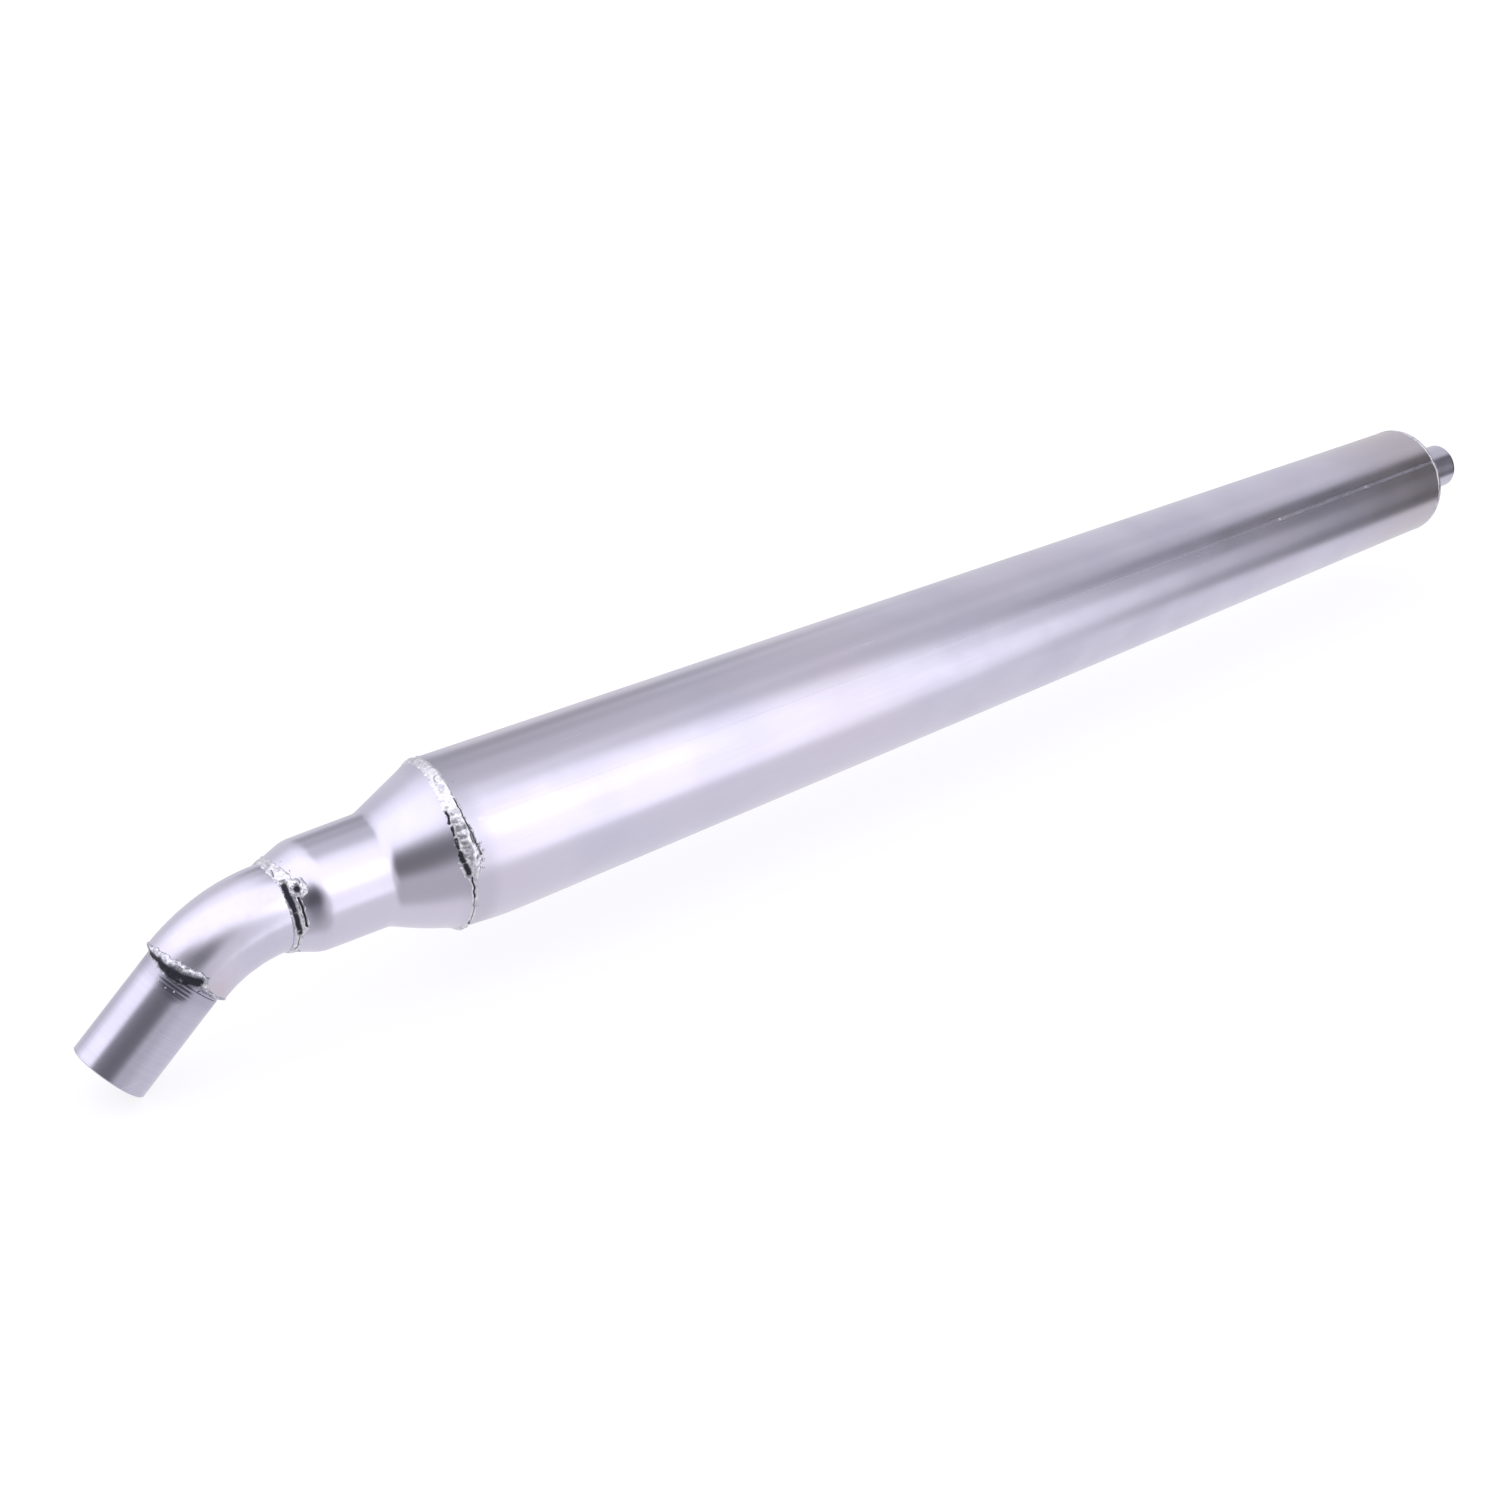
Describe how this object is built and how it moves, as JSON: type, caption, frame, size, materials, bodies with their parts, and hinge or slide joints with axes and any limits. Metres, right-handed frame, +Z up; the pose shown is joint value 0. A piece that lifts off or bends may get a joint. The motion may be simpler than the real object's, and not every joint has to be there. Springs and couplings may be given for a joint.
{
  "type": "racing exhaust",
  "caption": "Slim welded two-stroke racing exhaust with a 40 degree inlet elbow, spun diverging cone, long tapered silencer shell and small tail pipe.",
  "frame": {"origin": "centre of the inlet spigot's open end, where the header joins", "axes": "+X along the shell from inlet to tail, +Z up, the elbow bends in the XZ plane so that the spigot points down and forward"},
  "size_m": [0.6948, 0.0668, 0.0827],
  "materials": {
    "satin_steel": "satin bare steel, fine rolling lines, faint violet cast",
    "spun_steel": "satin steel with fine rings from spinning",
    "turned_steel": "darker machined steel with fine turning rings",
    "pressed_steel": "pressed satin steel",
    "tail_steel": "drawn tube, satin",
    "weld_bead": "rough rippled weld bead with dark pits",
    "weld_dark": "very dark rough weld",
    "seam_ground": "weld ground nearly flush",
    "inner_steel": "mild steel, mill finish",
    "screen_steel": "fine woven steel wire",
    "glass_wool": "loose wound glass fibre"
  },
  "bodies": {
    "root": {"inlet_spigot": "turned_steel", "spigot_weld": "weld_dark", "elbow": "satin_steel", "elbow_weld": "weld_bead", "weld_stop": "weld_bead", "inlet_cone": "spun_steel", "cone_weld": "weld_bead", "shell": "satin_steel", "shell_seam": "seam_ground", "rear_cap": "pressed_steel", "cap_weld": "weld_bead", "tail_pipe": "tail_steel", "tail_weld": "weld_bead", "reverse_cone": "inner_steel", "core_weld": "weld_dark", "perforated_core": "inner_steel", "packing_screen": "screen_steel", "packing_front": "glass_wool", "packing_rear": "glass_wool", "front_bulkhead": "inner_steel", "centre_ring": "inner_steel", "core_socket": "inner_steel"}
  },
  "joints": []
}
